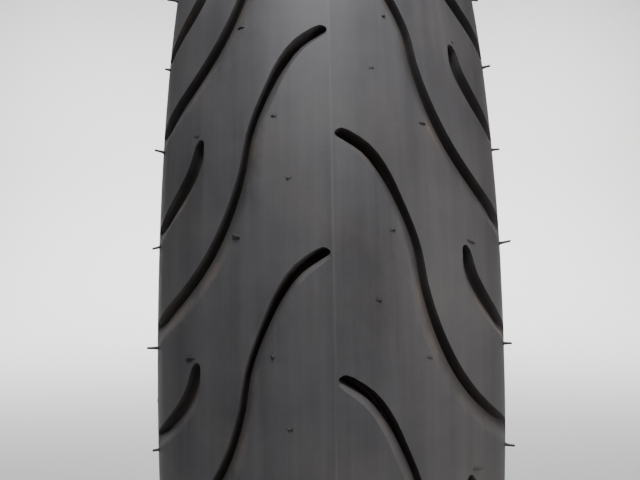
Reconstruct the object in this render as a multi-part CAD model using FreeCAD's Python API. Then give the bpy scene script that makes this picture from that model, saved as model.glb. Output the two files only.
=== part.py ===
"""Motorcycle tyre, 100/80-17 size, as it stands on its rim seats.

Millimetres.  The origin is the wheel centre, the axle lies along +Y and +Z is
up.  Every piece is written to parts/ as its own STEP file.
"""
import FreeCAD, Part
import math
import os

V = FreeCAD.Vector

# Overall sizes
SECTION_WIDTH = 101.0
SECTION_HEIGHT = 77.7
SEAT_RADIUS = 218.3
RIM_WIDTH = 63.5

# Outer contour above the rim line, as shares of the height left above it:
# where it is widest, and its shoulder arc
WIDEST_SHARE = 0.41469
SHOULDER_SHARE = 0.41206
TREAD_EDGE_ANGLE = math.radians(62.0)

# Carcass line, the outer face of the outer ply, as shares of the same height
PLY_WIDEST_SHARE = 0.31418
PLY_SHOULDER_SHARE = 0.33501
PLY_SIDEWALL_SHARE = 0.30151

# Layer thicknesses
CAP_THICKNESS = 7.2
BASE_THICKNESS = 1.0
BREAKER_THICKNESS = 0.8
PLY_THICKNESS = 0.9
LINER_THICKNESS = 1.0
SIDEWALL_THICKNESS = 2.8
CHAFER_THICKNESS = 1.0

# Where the layers under the tread end, as angles round the carcass line
BASE_END_ANGLE = math.radians(44.0)
INNER_BREAKER_END_ANGLE = math.radians(40.0)
OUTER_BREAKER_END_ANGLE = math.radians(35.0)

# Bead
BEAD_BUNDLE_RADIUS = 3.2
BEAD_WIRE_DIAMETER = 1.83
BEAD_WIRE_PITCH = 1.92
BEAD_WIRE_ROWS = 1
HEEL_RADIUS = 3.5
TOE_RADIUS = 1.0
FLANGE_RADIUS = 5.0
RIM_LINE_HEIGHT = 18.0
TURN_UP_STAGGER = 6.0

# Tread pattern: one long and one short groove on each side, repeated round
PITCH_COUNT = 30
PATTERN_TURN = math.radians(20.54)
LONG_GROOVE_DEPTH = 5.8
SHORT_GROOVE_DEPTH = 4.2
SHOULDER_GROOVE_DEPTH = 2.8
OUTER_WALL_DRAFT = math.radians(6.0)
INNER_WALL_DRAFT = math.radians(20.0)
INNER_WALL_SHARE = 0.4
FLOOR_CORNER_SHARE = 0.25
CUTTER_LIFT = 1.6
CROWN_FLAT = 20.0
START_DEPTH = 0.75
END_DEPTH = 0.45

# Centre line of each groove as (along the pitch, out from the crown, width),
# drawn on a pitch and a reach from crown to tread edge of the sizes below
LONG_GROOVE = (
    (0.7, 1.9, 2.6),
    (2.3, 4.3, 4.0),
    (5.6, 8.6, 4.4),
    (10.5, 12.4, 4.0),
    (18.0, 16.2, 3.6),
    (30.5, 20.9, 3.9),
    (40.7, 22.7, 4.3),
    (51.0, 25.9, 4.8),
    (64.0, 32.9, 5.5),
    (75.5, 44.4, 5.8),
    (81.4, 54.0, 5.6),
    (84.0, 59.5, 5.0),
)
SHORT_GROOVE = (
    (29.0, 37.7, 1.3),
    (30.6, 38.3, 2.2),
    (33.5, 39.0, 2.9),
    (37.5, 40.6, 3.5),
    (41.5, 43.4, 3.8),
    (45.5, 47.0, 3.8),
    (49.5, 51.8, 3.9),
    (54.2, 58.8, 3.6),
)
PATTERN_PITCH = 62.0
PATTERN_REACH = 61.40

# Moulding hairs as (along the pitch, out from the crown, length, tip radius)
SHOULDER_HAIRS = (
    (26.0, 57.0, 2.6, 0.27),
    (57.0, 57.0, 2.6, 0.27),
)
TREAD_HAIRS = (
    (58.0, 24.0, 1.8, 0.26),
    (26.6, 38.4, 2.2, 0.26),
    (26.0, 15.0, 0.5, 0.40),
    (43.5, 11.0, 0.5, 0.40),
)
HAIR_ROOT_GROWTH = 0.06

# Sizes that follow from the ones above
PLIES = 2 * PLY_THICKNESS
OVERALL_RADIUS = SEAT_RADIUS + SECTION_HEIGHT
RIM_LINE_RADIUS = SEAT_RADIUS + RIM_LINE_HEIGHT
FREE_HEIGHT = SECTION_HEIGHT - RIM_LINE_HEIGHT
HALF_WIDTH = SECTION_WIDTH / 2
RIM_HALF = RIM_WIDTH / 2
UNDER_CAP = BASE_THICKNESS + 2 * BREAKER_THICKNESS
PLY_TOP = OVERALL_RADIUS - CAP_THICKNESS - UNDER_CAP
PLY_HALF_WIDTH = HALF_WIDTH - SIDEWALL_THICKNESS
TURN_UP_DEPTH = PLIES + CHAFER_THICKNESS
WIDEST_RADIUS = RIM_LINE_RADIUS + WIDEST_SHARE * FREE_HEIGHT
SHOULDER_RADIUS = SHOULDER_SHARE * FREE_HEIGHT
PLY_WIDEST_RADIUS = RIM_LINE_RADIUS + PLY_WIDEST_SHARE * FREE_HEIGHT
PLY_SHOULDER_RADIUS = PLY_SHOULDER_SHARE * FREE_HEIGHT
PLY_SIDEWALL_RADIUS = PLY_SIDEWALL_SHARE * FREE_HEIGHT


def crown_radius(half_width, drop, shoulder):
    """Return the crown arc that meets a shoulder arc at the widest place.

    The drop is how far the widest place lies below the crown.
    """
    beside = half_width - shoulder
    return (beside ** 2 + drop ** 2 - shoulder ** 2) / (2 * (drop - shoulder))


CROWN_RADIUS = crown_radius(
    HALF_WIDTH, OVERALL_RADIUS - WIDEST_RADIUS, SHOULDER_RADIUS)
PLY_CROWN_RADIUS = crown_radius(
    PLY_HALF_WIDTH, PLY_TOP - PLY_WIDEST_RADIUS, PLY_SHOULDER_RADIUS)


def point(y, radius):
    """Return the section-plane point at axial place y and the given radius."""
    return V(radius, y, 0)


def polar(centre, radius, angle):
    """Return the point on an arc; the angle is measured from straight up."""
    return centre + V(math.cos(angle), math.sin(angle), 0) * radius


def arc(centre, radius, start, end):
    """Return the arc edge between two angles measured from straight up."""
    middle = polar(centre, radius, (start + end) / 2)
    first = polar(centre, radius, start)
    return Part.Arc(first, middle, polar(centre, radius, end)).toShape()


def line(start, end):
    """Return the straight edge between two points."""
    return Part.makeLine(start, end)


def cross_tangent(first, first_radius, second, second_radius):
    """Return the direction of the line that crosses between two circles.

    The line leaves the first circle on its outer side and meets the second
    on its inner side, travelling from the first towards the second.
    """
    across = second - first
    lean = math.asin((first_radius + second_radius) / across.Length)
    return (math.atan2(across.y, across.x) + lean) % (2 * math.pi)


class Contour:
    """The outer contour of one side, from crown to rim line."""

    def __init__(self):
        sine = (HALF_WIDTH - SHOULDER_RADIUS) / (CROWN_RADIUS - SHOULDER_RADIUS)
        self.blend = math.asin(sine)
        self.crown = point(0, OVERALL_RADIUS - CROWN_RADIUS)
        self.shoulder = polar(self.crown, CROWN_RADIUS - SHOULDER_RADIUS, self.blend)
        self.crown_length = CROWN_RADIUS * self.blend

    def at(self, length):
        """Return place and normal angle at a length out from the crown."""
        if length < self.crown_length:
            angle = length / CROWN_RADIUS
            return polar(self.crown, CROWN_RADIUS, angle), angle
        angle = self.blend + (length - self.crown_length) / SHOULDER_RADIUS
        return polar(self.shoulder, SHOULDER_RADIUS, angle), angle


class Carcass:
    """The line the plies follow on one side, from crown round the bead."""

    def __init__(self):
        spread = PLY_CROWN_RADIUS - PLY_SHOULDER_RADIUS
        self.blend = math.asin((PLY_HALF_WIDTH - PLY_SHOULDER_RADIUS) / spread)
        self.crown = point(0, PLY_TOP - PLY_CROWN_RADIUS)
        self.shoulder = polar(self.crown, spread, self.blend)
        self.wall = point(PLY_HALF_WIDTH - PLY_SIDEWALL_RADIUS, self.shoulder.x)
        wrap = BEAD_BUNDLE_RADIUS + PLIES + CHAFER_THICKNESS
        self.bead = point(RIM_HALF - wrap, SEAT_RADIUS + wrap)
        self.flange = point(RIM_HALF + FLANGE_RADIUS, self.bead.x)
        self.down = cross_tangent(
            self.wall, PLY_SIDEWALL_RADIUS, self.bead, BEAD_BUNDLE_RADIUS)
        outer = PLY_SIDEWALL_RADIUS + SIDEWALL_THICKNESS
        self.outer_down = cross_tangent(self.wall, outer, self.flange, FLANGE_RADIUS)

    def wall_end(self, offset):
        """Return where the sidewall arc of an offset ply line ends."""
        radius = PLY_SIDEWALL_RADIUS + offset
        return polar(self.wall, radius, self.down - math.pi / 2)

    def bead_start(self, offset):
        """Return where an offset ply line meets the bead bundle."""
        radius = BEAD_BUNDLE_RADIUS - offset
        return polar(self.bead, radius, self.down + math.pi / 2)

    def upper(self, offset):
        """Return the edges of an offset ply line from crown to bead."""
        return [
            arc(self.crown, PLY_CROWN_RADIUS + offset, 0, self.blend),
            arc(self.shoulder, PLY_SHOULDER_RADIUS + offset, self.blend, math.pi / 2),
            arc(self.wall, PLY_SIDEWALL_RADIUS + offset, math.pi / 2,
                self.down - math.pi / 2),
            line(self.wall_end(offset), self.bead_start(offset)),
        ]

    def rim_line(self, depth, lower=0.0):
        """Return a point below the outer face where the chafer ends."""
        along = V(math.cos(self.outer_down), math.sin(self.outer_down), 0)
        foot = self.flange_end(0)
        rise = (RIM_LINE_RADIUS - foot.x) / abs(along.x)
        inward = V(-along.y, along.x, 0)
        return foot - along * (rise - lower) + inward * depth

    def flange_end(self, depth):
        """Return where the flange arc ends at a depth below the outer face."""
        radius = FLANGE_RADIUS + depth
        return polar(self.flange, radius, self.outer_down + math.pi / 2)

    def turn_up(self, depth, lower=0.0):
        """Return the edges of a face that rises beside the flange."""
        return [
            arc(self.flange, FLANGE_RADIUS + depth, math.pi * 1.5,
                self.outer_down + math.pi / 2),
            line(self.flange_end(depth), self.rim_line(depth, lower)),
        ]

    def wrap(self, offset, lower=0.0):
        """Return the edges of an offset ply line round the bead and up."""
        turn = arc(self.bead, BEAD_BUNDLE_RADIUS - offset,
                   self.down + math.pi / 2, math.pi / 2)
        return [turn] + self.turn_up(TURN_UP_DEPTH + offset, lower)

    def filler_top(self):
        """Return where the rim line cut meets the main ply line."""
        outer = self.rim_line(0)
        inward = self.rim_line(1) - outer
        normal = V(-math.sin(self.down), math.cos(self.down), 0)
        reach = (self.bead_start(0) - outer).dot(normal) / inward.dot(normal)
        return outer + inward * reach

    def over_tread(self, offset, end):
        """Return the edges of an offset ply line from crown to an angle."""
        first = min(end, self.blend)
        edges = [arc(self.crown, PLY_CROWN_RADIUS + offset, 0, first)]
        if end > self.blend:
            edges.append(
                arc(self.shoulder, PLY_SHOULDER_RADIUS + offset, self.blend, end))
        return edges

    def over_tread_end(self, offset, end):
        """Return where an offset ply line reaches an angle."""
        if end > self.blend:
            return polar(self.shoulder, PLY_SHOULDER_RADIUS + offset, end)
        return polar(self.crown, PLY_CROWN_RADIUS + offset, end)


OUTSIDE = Contour()
CARCASS = Carcass()


def tread_edge():
    """Return the angle on the outer contour where the tread ends."""
    away = V(math.cos(TREAD_EDGE_ANGLE), math.sin(TREAD_EDGE_ANGLE), 0)
    shift = OUTSIDE.shoulder - CARCASS.shoulder
    along = away.dot(shift)
    reach = along + math.sqrt(along ** 2 - shift.dot(shift) + SHOULDER_RADIUS ** 2)
    edge = CARCASS.shoulder + away * reach - OUTSIDE.shoulder
    return math.atan2(edge.y, edge.x)


def pattern_spread():
    """Return how much wider than drawn the pattern lies on this tread."""
    shoulder_length = SHOULDER_RADIUS * (tread_edge() - OUTSIDE.blend)
    return (OUTSIDE.crown_length + shoulder_length) / PATTERN_REACH


def section(edges):
    """Return the flat face inside a closed run of edges."""
    return Part.Face(Part.Wire(Part.__sortEdges__(edges)))


def mirrored(shape):
    """Return the shape on the other side of the wheel's middle plane."""
    return shape.mirror(V(0, 0, 0), V(0, 1, 0))


def across(edges):
    """Return the flat face of a right-hand run of edges and its mirror."""
    return section(edges + [mirrored(edge) for edge in edges])


def turned(face):
    """Return the solid of a section turned once round the axle."""
    solid = face.revolve(V(0, 0, 0), V(0, 1, 0), 360)
    return solid.Solids[0] if len(solid.Solids) == 1 else solid


def band(low, high, end):
    """Return the section of a layer over the tread between two offsets."""
    side = line(CARCASS.over_tread_end(high, end), CARCASS.over_tread_end(low, end))
    edges = CARCASS.over_tread(high, end) + [side] + CARCASS.over_tread(low, end)
    return across(edges)


def breaker_sections():
    """Return the sections of the inner and the outer breaker ply."""
    top = 2 * BREAKER_THICKNESS
    inner = band(0, BREAKER_THICKNESS, INNER_BREAKER_END_ANGLE)
    outer = band(BREAKER_THICKNESS, top, OUTER_BREAKER_END_ANGLE)
    return inner, outer


def tread_section():
    """Return the section of the tread cap."""
    edge = tread_edge()
    rim = polar(OUTSIDE.shoulder, SHOULDER_RADIUS, edge)
    edges = [
        arc(OUTSIDE.crown, CROWN_RADIUS, 0, OUTSIDE.blend),
        arc(OUTSIDE.shoulder, SHOULDER_RADIUS, OUTSIDE.blend, edge),
        line(rim, CARCASS.over_tread_end(0, TREAD_EDGE_ANGLE)),
    ]
    whole = across(edges + CARCASS.over_tread(0, TREAD_EDGE_ANGLE))
    return whole.cut(band(0, UNDER_CAP, BASE_END_ANGLE)).Faces[0]


def ply_section(low, high, lower):
    """Return the section of a carcass ply with both its turn-ups."""
    end = line(CARCASS.rim_line(TURN_UP_DEPTH + high, lower),
               CARCASS.rim_line(TURN_UP_DEPTH + low, lower))
    outer = CARCASS.upper(high) + CARCASS.wrap(high, lower)
    inner = CARCASS.upper(low) + CARCASS.wrap(low, lower)
    return across(outer + [end] + inner)


def liner_section():
    """Return the section of the inner liner."""
    low = -PLIES - LINER_THICKNESS
    end = line(CARCASS.bead_start(-PLIES), CARCASS.bead_start(low))
    return across(CARCASS.upper(-PLIES) + [end] + CARCASS.upper(low))


def filler_section():
    """Return the section of the right bead filler."""
    top = CARCASS.filler_top()
    start = CARCASS.down + math.pi / 2
    edges = [
        arc(CARCASS.bead, BEAD_BUNDLE_RADIUS, start, math.pi * 2.5),
        line(CARCASS.rim_line(TURN_UP_DEPTH), top),
        line(top, CARCASS.bead_start(0)),
    ]
    return section(edges + CARCASS.turn_up(TURN_UP_DEPTH))


def chafer_section():
    """Return the section of the right chafer, from toe to rim line."""
    inside = PLIES + LINER_THICKNESS
    face_y = CARCASS.bead.y - BEAD_BUNDLE_RADIUS - inside
    toe = point(face_y + TOE_RADIUS, SEAT_RADIUS + TOE_RADIUS)
    heel = point(RIM_HALF - HEEL_RADIUS, SEAT_RADIUS + HEEL_RADIUS)
    step = CHAFER_THICKNESS + PLY_THICKNESS
    edges = [
        line(CARCASS.bead_start(-PLIES), CARCASS.bead_start(-inside)),
        arc(CARCASS.bead, BEAD_BUNDLE_RADIUS + inside,
            CARCASS.down + math.pi / 2, math.pi * 1.5),
        line(point(face_y, CARCASS.bead.x), point(face_y, toe.x)),
        arc(toe, TOE_RADIUS, math.pi * 1.5, math.pi),
        line(point(toe.y, SEAT_RADIUS), point(heel.y, SEAT_RADIUS)),
        arc(heel, HEEL_RADIUS, math.pi, math.pi / 2),
        line(point(RIM_HALF, heel.x), point(RIM_HALF, CARCASS.flange.x)),
        line(CARCASS.rim_line(0), CARCASS.rim_line(step)),
        line(CARCASS.rim_line(step), CARCASS.rim_line(step, TURN_UP_STAGGER)),
        line(CARCASS.rim_line(step, TURN_UP_STAGGER),
             CARCASS.rim_line(CHAFER_THICKNESS, TURN_UP_STAGGER)),
    ]
    inner = CARCASS.wrap(-PLIES, TURN_UP_STAGGER)
    return section(edges + CARCASS.turn_up(0) + inner)


def sidewall_section():
    """Return the section of the right sidewall, from tread to rim line."""
    outer = PLY_SIDEWALL_RADIUS + SIDEWALL_THICKNESS
    edge = tread_edge()
    rim = polar(OUTSIDE.shoulder, SHOULDER_RADIUS, edge)
    turn = CARCASS.outer_down - math.pi / 2
    edges = [
        arc(OUTSIDE.shoulder, SHOULDER_RADIUS, edge, math.pi / 2),
        line(point(HALF_WIDTH, OUTSIDE.shoulder.x), point(HALF_WIDTH, CARCASS.wall.x)),
        arc(CARCASS.wall, outer, math.pi / 2, turn),
        line(polar(CARCASS.wall, outer, turn), CARCASS.rim_line(0)),
        line(CARCASS.rim_line(0), CARCASS.filler_top()),
        line(CARCASS.filler_top(), CARCASS.wall_end(0)),
        arc(CARCASS.wall, PLY_SIDEWALL_RADIUS, CARCASS.down - math.pi / 2,
            math.pi / 2),
        arc(CARCASS.shoulder, PLY_SHOULDER_RADIUS, math.pi / 2, TREAD_EDGE_ANGLE),
        line(CARCASS.over_tread_end(0, TREAD_EDGE_ANGLE), rim),
    ]
    return section(edges)


def bead_wires():
    """Return the right bead's wire turns, packed in a hexagon."""
    rows = range(-BEAD_WIRE_ROWS, BEAD_WIRE_ROWS + 1)
    rings = []
    for row in rows:
        for column in rows:
            if abs(row + column) > BEAD_WIRE_ROWS:
                continue
            side = (column + row / 2) * BEAD_WIRE_PITCH
            rise = row * math.sqrt(3) / 2 * BEAD_WIRE_PITCH
            centre = V(0, CARCASS.bead.y + side, 0)
            rings.append(Part.makeTorus(
                CARCASS.bead.x + rise, BEAD_WIRE_DIAMETER / 2, centre, V(0, 1, 0)))
    return Part.Compound(rings)


def bead_coat(wires):
    """Return the rubber that holds the right bead's wires together."""
    centre = V(0, CARCASS.bead.y, 0)
    ring = Part.makeTorus(CARCASS.bead.x, BEAD_BUNDLE_RADIUS, centre, V(0, 1, 0))
    return ring.cut(wires.Solids)


class Spot:
    """A place on the right half of the tread with its own directions."""

    def __init__(self, along, out):
        self.spread = pattern_spread()
        place, lean = OUTSIDE.at(out * self.spread)
        turn = PATTERN_TURN - math.radians(360 / PITCH_COUNT) * along / PATTERN_PITCH
        radial = V(math.cos(turn), 0, math.sin(turn))
        axial = V(0, 1, 0)
        self.reach = place.x / OVERALL_RADIUS
        self.place = radial * place.x + axial * place.y
        self.normal = radial * math.cos(lean) + axial * math.sin(lean)
        self.out = axial * math.cos(lean) - radial * math.sin(lean)
        self.round = V(math.sin(turn), 0, -math.cos(turn))


def groove_section(spot, heading, width, depth):
    """Return the closed outline of a groove cutter square to its heading."""
    side = spot.normal.cross(heading)
    steep = math.tan(OUTER_WALL_DRAFT) * depth
    gentle = min(math.tan(INNER_WALL_DRAFT) * depth, INNER_WALL_SHARE * width)
    inset = FLOOR_CORNER_SHARE * (width - steep - gentle)
    knee = 1 - FLOOR_CORNER_SHARE
    lift = CUTTER_LIFT / depth
    outer = width / 2
    outline = (
        (outer + steep * lift, CUTTER_LIFT),
        (outer - steep * knee, -depth * knee),
        (outer - steep - inset, -depth),
        (gentle + inset - outer, -depth),
        (gentle * knee - outer, -depth * knee),
        (-outer - gentle * lift, CUTTER_LIFT),
    )
    corners = [spot.place + side * beside + spot.normal * rise
               for beside, rise in outline]
    return Part.makePolygon(corners + corners[:1])


def groove_cutter(path, depths):
    """Return one solid that cuts a groove along a path on the tread.

    The path holds (along, out, width) and depths the depth at each of them.
    """
    spots = [Spot(along, out) for along, out, width in path]
    outlines = []
    for index, spot in enumerate(spots):
        before = path[max(index - 1, 0)]
        after = path[min(index + 1, len(path) - 1)]
        forward = (after[0] - before[0]) * spot.reach
        outward = (after[1] - before[1]) * spot.spread
        heading = spot.round * forward + spot.out * outward
        heading.normalize()
        width = path[index][2]
        outlines.append(groove_section(spot, heading, width, depths[index]))
    return Part.makeLoft(outlines, True, False)


def groove_depths(path, full):
    """Return a depth for each point of a path: round start, shallow end."""
    depths = []
    last = path[-1][1]
    for index, (along, out, width) in enumerate(path):
        outward = min(max((out - CROWN_FLAT) / (last - CROWN_FLAT), 0), 1)
        depth = full + (SHOULDER_GROOVE_DEPTH - full) * outward
        if index == 0:
            depth *= START_DEPTH
        if index == len(path) - 1:
            depth *= END_DEPTH
        depths.append(depth)
    return depths


def tread_cap():
    """Return the tread cap with every groove cut round it."""
    cutters = [
        groove_cutter(LONG_GROOVE, groove_depths(LONG_GROOVE, LONG_GROOVE_DEPTH)),
        groove_cutter(SHORT_GROOVE, groove_depths(SHORT_GROOVE, SHORT_GROOVE_DEPTH)),
    ]
    return turned(tread_section()).cut(pattern(cutters)).Solids[0]


def hairs(table):
    """Return the moulding hairs of one right-hand pitch."""
    shapes = []
    for along, out, length, tip in table:
        spot = Spot(along, out)
        root = tip + HAIR_ROOT_GROWTH
        shapes.append(Part.makeCone(root, tip, length, spot.place, spot.normal))
    return shapes


def turned_copy(shape, turn):
    """Return a copy of the shape turned round the axle by degrees."""
    copy = shape.copy()
    copy.rotate(V(0, 0, 0), V(0, 1, 0), turn)
    return copy


def right_side(shapes):
    """Return the shapes of one pitch repeated round the right side."""
    step = 360 / PITCH_COUNT
    return [turned_copy(shape, (index + 0.5) * step)
            for index in range(PITCH_COUNT) for shape in shapes]


def left_side(shapes):
    """Return the shapes of one pitch repeated round the left side."""
    step = 360 / PITCH_COUNT
    return [turned_copy(mirrored(shape), index * step)
            for index in range(PITCH_COUNT) for shape in shapes]


def pattern(shapes):
    """Return the shapes of one pitch repeated round both sides."""
    return right_side(shapes) + left_side(shapes)


def middle_pieces():
    """Return the pieces that run across the whole tyre, by name."""
    inner, outer = breaker_sections()
    base = band(0, UNDER_CAP, BASE_END_ANGLE).cut([inner, outer]).Faces[0]
    return {
        "tread_cap": tread_cap(),
        "tread_base": turned(base),
        "breaker_inner": turned(inner),
        "breaker_outer": turned(outer),
        "carcass_ply_outer": turned(ply_section(-PLY_THICKNESS, 0, 0)),
        "carcass_ply_inner": turned(
            ply_section(-PLIES, -PLY_THICKNESS, TURN_UP_STAGGER)),
        "inner_liner": turned(liner_section()),
    }


def side_pieces():
    """Return the right-hand pieces that have a left-hand twin, by name."""
    wires = bead_wires()
    return {
        "sidewall": turned(sidewall_section()),
        "chafer": turned(chafer_section()),
        "bead_filler": turned(filler_section()),
        "bead_coat": bead_coat(wires),
        "bead_wires": wires,
    }


def main():
    """Build every piece and write one STEP file for each."""
    pieces = middle_pieces()
    for name, shape in side_pieces().items():
        pieces[name + "_right"] = shape
        pieces[name + "_left"] = mirrored(shape)
    for name, table in (("shoulder_hairs", SHOULDER_HAIRS), ("tread_hairs", TREAD_HAIRS)):
        pieces[name + "_right"] = Part.Compound(right_side(hairs(table)))
        pieces[name + "_left"] = Part.Compound(left_side(hairs(table)))
    os.makedirs("parts", exist_ok=True)
    for name, shape in pieces.items():
        shape.exportStep("parts/" + name + ".step")


main()
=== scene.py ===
"""Motorcycle tyre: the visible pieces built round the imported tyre, in metres.

The wheel centre is the origin, the axle lies along +Y and +Z is up.
"""

from __future__ import annotations

import logging
import math
import random
from collections.abc import Callable, Iterable, Sequence
from dataclasses import dataclass
from enum import Enum

import bmesh
import bpy
import numpy as np
from mathutils import Matrix, Vector


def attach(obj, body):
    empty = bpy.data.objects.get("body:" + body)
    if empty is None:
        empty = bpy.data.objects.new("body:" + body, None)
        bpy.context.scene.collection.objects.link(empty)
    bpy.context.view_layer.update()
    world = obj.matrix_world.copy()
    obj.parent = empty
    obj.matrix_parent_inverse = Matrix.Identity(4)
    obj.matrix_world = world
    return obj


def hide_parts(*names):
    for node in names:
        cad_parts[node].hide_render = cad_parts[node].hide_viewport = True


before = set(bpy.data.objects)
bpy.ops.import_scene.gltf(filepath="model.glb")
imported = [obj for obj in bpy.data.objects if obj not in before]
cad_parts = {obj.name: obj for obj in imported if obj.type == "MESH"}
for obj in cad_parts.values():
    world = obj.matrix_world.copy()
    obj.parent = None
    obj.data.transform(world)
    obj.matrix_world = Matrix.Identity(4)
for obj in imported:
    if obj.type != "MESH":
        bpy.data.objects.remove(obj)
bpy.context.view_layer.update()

MM = 0.001
BODY = "root"
log = logging.getLogger("tyre")

Piece = bpy.types.Object
Material = bpy.types.Material
Socket = bpy.types.NodeSocket
Pair = tuple[float, float]
Triple = tuple[float, float, float]
Rows = tuple[tuple[float, ...], ...]
Outline = list[Pair]

# How near two places are to count as one
NEAR = 1e-6
VERY_NEAR = 1e-7


def metres(*rows: Sequence[float]) -> Rows:
    """Return rows of millimetres in metres."""
    return tuple(tuple(value * MM for value in row) for row in rows)


class Side(Enum):
    """The two sides of the tyre, along the axle."""

    LEFT = -1
    RIGHT = 1

    @property
    def word(self) -> str:
        """Return the side's name as the nodes spell it."""
        return self.name.lower()


# ---------------------------------------------------------------- workbench


class Bench:
    """Small habits of modelling by hand: select, edit, apply."""

    @staticmethod
    def clear() -> None:
        """Deselect everything."""
        for obj in bpy.context.selected_objects:
            obj.select_set(False)

    @staticmethod
    def pick(obj: Piece, others: Iterable[Piece] = ()) -> None:
        """Make one object active and selected, with others beside it.

        Args:
            obj: the object to make active.
            others: objects to select along with it.
        """
        Bench.clear()
        for other in others:
            other.select_set(True)
        obj.select_set(True)
        bpy.context.view_layer.objects.active = obj

    @staticmethod
    def edit(obj: Piece, work: Callable[[], None]) -> None:
        """Run some edit-mode work on one object with all of it selected.

        Args:
            obj: the object to edit.
            work: the operators to run.
        """
        Bench.pick(obj)
        bpy.ops.object.mode_set(mode="EDIT")
        bpy.ops.mesh.select_mode(type="VERT")
        bpy.ops.mesh.select_all(action="SELECT")
        work()
        bpy.ops.object.mode_set(mode="OBJECT")

    @staticmethod
    def modify(obj: Piece, kind: str, **settings: object) -> None:
        """Add a modifier, set it and apply it.

        Args:
            obj: the object to change.
            kind: Blender's name for the modifier type.
            settings: the modifier's own values.
        """
        Bench.pick(obj)
        modifier = obj.modifiers.new(kind.lower(), kind)
        for name, value in settings.items():
            setattr(modifier, name, value)
        bpy.ops.object.modifier_apply(modifier=modifier.name)

    @staticmethod
    def join(objects: Sequence[Piece], name: str) -> Piece:
        """Join objects into one.

        Args:
            objects: the objects, the first of which is kept.
            name: the joined object's name.

        Returns:
            The joined object.
        """
        Bench.pick(objects[0], objects[1:])
        if len(objects) > 1:
            bpy.ops.object.join()
        objects[0].name = name
        objects[0].data.name = name
        return objects[0]

    @staticmethod
    def copy(obj: Piece, place: Matrix) -> Piece:
        """Return a copy with its own mesh, put in place.

        Args:
            obj: the object to copy.
            place: the matrix that moves the copy's mesh.

        Returns:
            The new object, itself at the origin.
        """
        twin = obj.copy()
        twin.data = obj.data.copy()
        twin.data.transform(place)
        bpy.context.collection.objects.link(twin)
        return twin

    @staticmethod
    def points(obj: Piece) -> np.ndarray:
        """Return the mesh's vertex places as rows."""
        rows = np.empty(len(obj.data.vertices) * 3)
        obj.data.vertices.foreach_get("co", rows)
        return rows.reshape(-1, 3)

    @staticmethod
    def set_points(obj: Piece, rows: np.ndarray) -> None:
        """Write the mesh's vertex places from rows."""
        obj.data.vertices.foreach_set("co", rows.ravel())
        obj.data.update()

    @staticmethod
    def smooth(obj: Piece, degrees: float) -> None:
        """Shade smooth except across edges sharper than an angle."""
        Bench.pick(obj)
        bpy.ops.object.shade_smooth_by_angle(angle=math.radians(degrees))

    @staticmethod
    def close_up(obj: Piece, gap: float) -> None:
        """Merge doubled vertices and turn every face outwards.

        Args:
            obj: the object to mend.
            gap: how near two vertices are to count as one.
        """

        def work() -> None:
            """Merge, then recalculate the normals."""
            bpy.ops.mesh.remove_doubles(threshold=gap)
            bpy.ops.mesh.normals_make_consistent(inside=False)

        Bench.edit(obj, work)

    @staticmethod
    def remove(obj: Piece) -> None:
        """Delete a helper object and its mesh."""
        mesh = obj.data
        bpy.data.objects.remove(obj)
        bpy.data.meshes.remove(mesh)


def outline_face(name: str, corners: Sequence[Sequence[float]]) -> Piece:
    """Add a flat polygon with its corners at given places.

    Args:
        name: the new object's name.
        corners: the places, in order round the outline.

    Returns:
        The new object, at the origin.
    """
    Bench.clear()
    bpy.ops.mesh.primitive_circle_add(
        vertices=len(corners), radius=MM, fill_type="NGON", location=(0, 0, 0))
    obj = bpy.context.active_object
    obj.name = name
    Bench.set_points(obj, np.array(corners, dtype=float))
    return obj


def lathe(name: str, outline: Outline, steps: int) -> Piece:
    """Turn a closed outline once round the axle.

    Args:
        name: the new object's name.
        outline: (axial place, radius) of each corner.
        steps: how many steps make the full turn.

    Returns:
        The closed ring.
    """
    ring = outline_face(name, [(radius, y, 0.0) for y, radius in outline])

    def work() -> None:
        """Drop the face, keep its edges and spin them."""
        bpy.ops.mesh.delete(type="ONLY_FACE")
        bpy.ops.mesh.select_all(action="SELECT")
        bpy.ops.mesh.spin(steps=steps, angle=math.tau, center=(0, 0, 0), axis=(0, 1, 0))

    Bench.edit(ring, work)
    Bench.close_up(ring, 2 * NEAR)
    return ring


def sweep(name: str, sections: Sequence[np.ndarray]) -> Piece:
    """Extrude a section from place to place, capped at both ends.

    Args:
        name: the new object's name.
        sections: the corners of each section, all with the same count.

    Returns:
        The closed solid.
    """
    solid = outline_face(name, sections[0])

    def work() -> None:
        """Extrude the face and move each corner to the next section's."""
        for before, after in zip(sections, sections[1:]):
            bpy.ops.mesh.extrude_region_move()
            cage = bmesh.from_edit_mesh(solid.data)
            for vertex in (v for v in cage.verts if v.select):
                gaps = np.linalg.norm(before - np.array(vertex.co), axis=1)
                vertex.co = Vector(after[int(gaps.argmin())])
            bmesh.update_edit_mesh(solid.data)
        bpy.ops.mesh.select_all(action="SELECT")
        bpy.ops.mesh.normals_make_consistent(inside=False)

    Bench.edit(solid, work)
    return solid


def arc_point(centre: Pair, radius: float, degrees: float) -> Pair:
    """Return the point on an arc, 0 straight out and 90 along the axle."""
    angle = math.radians(degrees)
    return centre[0] + radius * math.sin(angle), centre[1] + radius * math.cos(angle)


def arc_points(centre: Pair, radius: float, start: float, end: float,
               count: int) -> Outline:
    """Return points along an arc in the section plane.

    Args:
        centre: (axial place, radius) of the arc's centre.
        radius: the arc's radius.
        start: the first angle in degrees, 0 straight out and 90 along the axle.
        end: the last angle in degrees.
        count: how many steps to take.

    Returns:
        The points, both ends included.
    """
    return [arc_point(centre, radius, angle) for angle in np.linspace(start, end, count + 1)]


# ------------------------------------------------------------ tyre's contour


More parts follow.
